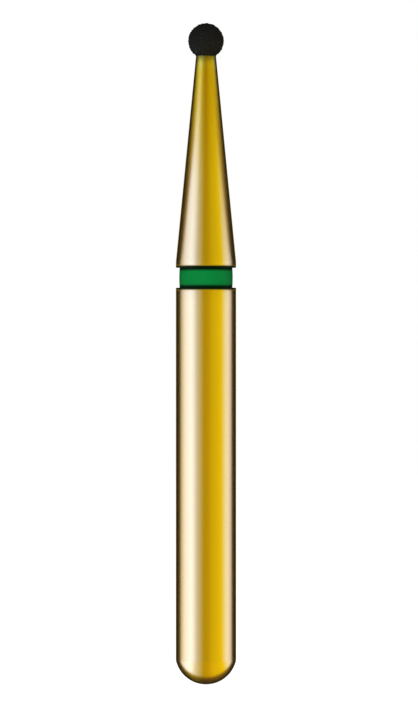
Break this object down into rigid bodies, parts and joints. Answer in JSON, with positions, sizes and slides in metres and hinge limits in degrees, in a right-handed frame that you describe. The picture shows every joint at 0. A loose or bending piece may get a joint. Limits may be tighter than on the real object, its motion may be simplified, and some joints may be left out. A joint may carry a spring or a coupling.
{
  "type": "dental bur",
  "caption": "Round dental bur: a slim gold-coloured shank with a domed end, a green colour ring in a groove, a long tapered neck and a small black diamond-coated ball at the tip.",
  "frame": {"origin": "lowest point of the shank's domed end, on the bur's axis", "axes": "+Z along the bur's axis, from the shank towards the head; X and Y are free, because the bur is round"},
  "size_m": [0.0016, 0.0016, 0.0176],
  "materials": {
    "gold_plated_steel": "turned and ground, plated in gold, satin to bright",
    "green_lacquer": "baked green lacquer, semi-gloss",
    "black_diamond_grit": "coarse diamond grit in a black nickel bond, rough"
  },
  "bodies": {
    "root": {"steel_blank": "gold_plated_steel", "colour_ring": "green_lacquer", "diamond_layer": "black_diamond_grit"}
  },
  "joints": []
}
